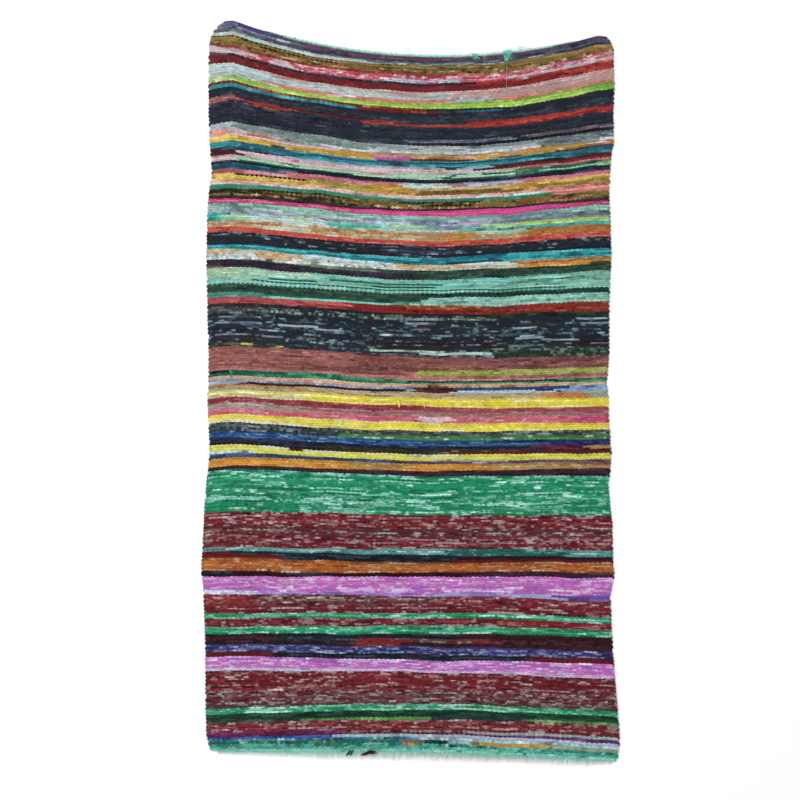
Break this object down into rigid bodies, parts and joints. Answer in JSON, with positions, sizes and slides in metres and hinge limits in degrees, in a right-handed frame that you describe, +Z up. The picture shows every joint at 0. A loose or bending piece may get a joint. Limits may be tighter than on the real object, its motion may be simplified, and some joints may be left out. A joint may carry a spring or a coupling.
{
  "type": "rag rug",
  "caption": "Flat woven rag rug, striped across in uneven weft colours, with a sagging head edge, wavy selvedges and short warp fringes.",
  "frame": {"origin": "on the floor, under the middle of the rug's overall box", "axes": "+X across the rug along its stripes, +Y along the rug towards its head end, +Z up out of the side that is walked on"},
  "size_m": [0.932, 1.6607, 0.0143],
  "materials": {
    "rag_weft": "matte woven cotton rag in stripes of many colours",
    "head_cotton": "matte frayed mint cotton",
    "warp_cotton": "matte frayed pale cotton"
  },
  "bodies": {
    "root": {"woven_cloth": "rag_weft", "head_fringe": "head_cotton", "foot_fringe": "warp_cotton"}
  },
  "joints": []
}
